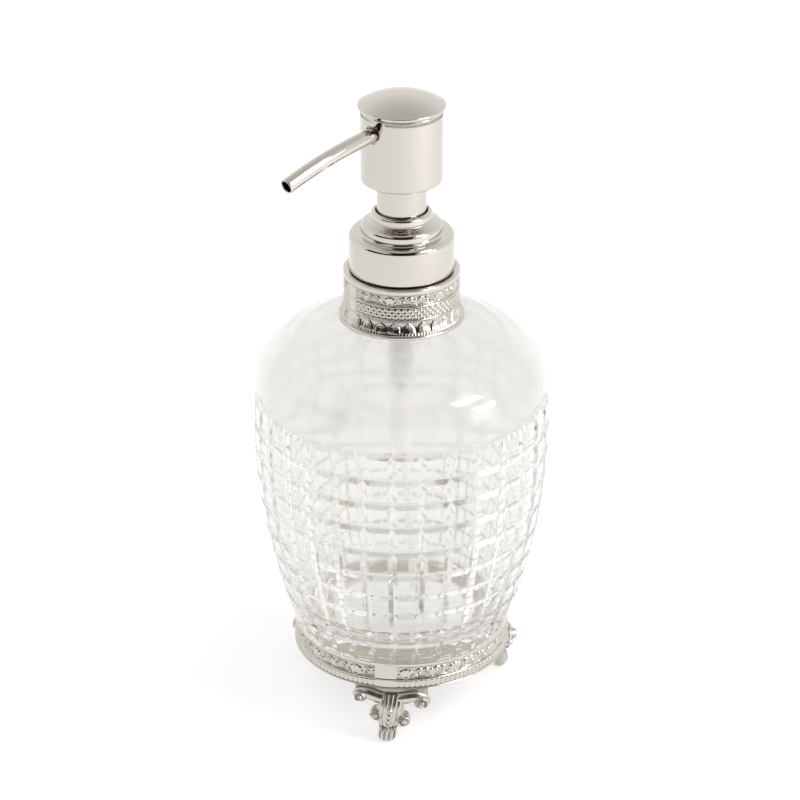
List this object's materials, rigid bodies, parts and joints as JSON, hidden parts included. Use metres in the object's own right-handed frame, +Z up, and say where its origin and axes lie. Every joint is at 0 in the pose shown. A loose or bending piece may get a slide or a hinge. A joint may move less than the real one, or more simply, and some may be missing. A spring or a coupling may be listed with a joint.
{
  "type": "soap pump dispenser",
  "caption": "Footed glass bottle with a pressed metal collar and base ring, and a screw-on pump whose head presses down and swivels to deliver liquid soap through a bent spout.",
  "frame": {"origin": "on the bottle's axis, on the surface that the three toes stand on", "axes": "+Z up along the bottle's axis, -Y towards the user, the spout points between -X and -Y at rest"},
  "size_m": [0.0918, 0.0918, 0.2053],
  "materials": {
    "clear_glass": "polished, clear",
    "silver_plate": "polished silver plate",
    "white_plastic": "moulded",
    "clear_plastic": "translucent moulded",
    "spring_steel": "drawn steel",
    "foam_rubber": "foamed"
  },
  "bodies": {
    "bottle": {"glass_bottle": "clear_glass", "base_ring": "silver_plate", "base_plate": "silver_plate", "front_foot": "silver_plate", "right_foot": "silver_plate", "rear_foot": "silver_plate", "neck_collar": "silver_plate", "thread_insert": "silver_plate"},
    "pump_body": {"pump_housing": "clear_plastic", "stem_guide": "white_plastic", "dip_tube": "clear_plastic", "neck_gasket": "foam_rubber", "return_spring": "spring_steel"},
    "closure": {"closure_shell": "silver_plate", "closure_liner": "white_plastic"},
    "plunger": {"piston_rod": "white_plastic", "piston_seal": "clear_plastic"},
    "head": {"actuator_core": "white_plastic", "stem_sleeve": "silver_plate", "head_shell": "silver_plate", "head_cap": "silver_plate", "spout_tube": "silver_plate"},
    "inlet_valve": {"inlet_ball": "spring_steel"},
    "outlet_valve": {"outlet_ball": "spring_steel"}
  },
  "joints": [
    {"name": "pump_rise", "type": "slide", "parent": "bottle", "child": "pump_body", "axis": [0, 0, 1], "range_m": [0, 0.00635]},
    {"name": "closure_turn", "type": "hinge", "parent": "pump_body", "child": "closure", "pos_m": [0, 0, 0.155], "axis": [0, 0, 1], "range_deg": [0, 540]},
    {"name": "plunger_press", "type": "slide", "parent": "pump_body", "child": "plunger", "axis": [0, 0, -1], "range_m": [0, 0.0086], "stiffness_N_per_m": 600, "springref_m": -0.012, "deforming": ["return_spring"]},
    {"name": "head_swivel", "type": "hinge", "parent": "plunger", "child": "head", "pos_m": [0, 0, 0.18], "axis": [0, 0, 1], "continuous": true},
    {"name": "inlet_ball_lift", "type": "slide", "parent": "pump_body", "child": "inlet_valve", "axis": [0, 0, 1], "range_m": [0, 0.001]},
    {"name": "outlet_ball_lift", "type": "slide", "parent": "plunger", "child": "outlet_valve", "axis": [0, 0, 1], "range_m": [0, 0.0012]}
  ],
  "couplings": [
    {"joint": "closure_turn", "follows": "pump_rise", "rad_per_m": 1484.2}
  ]
}
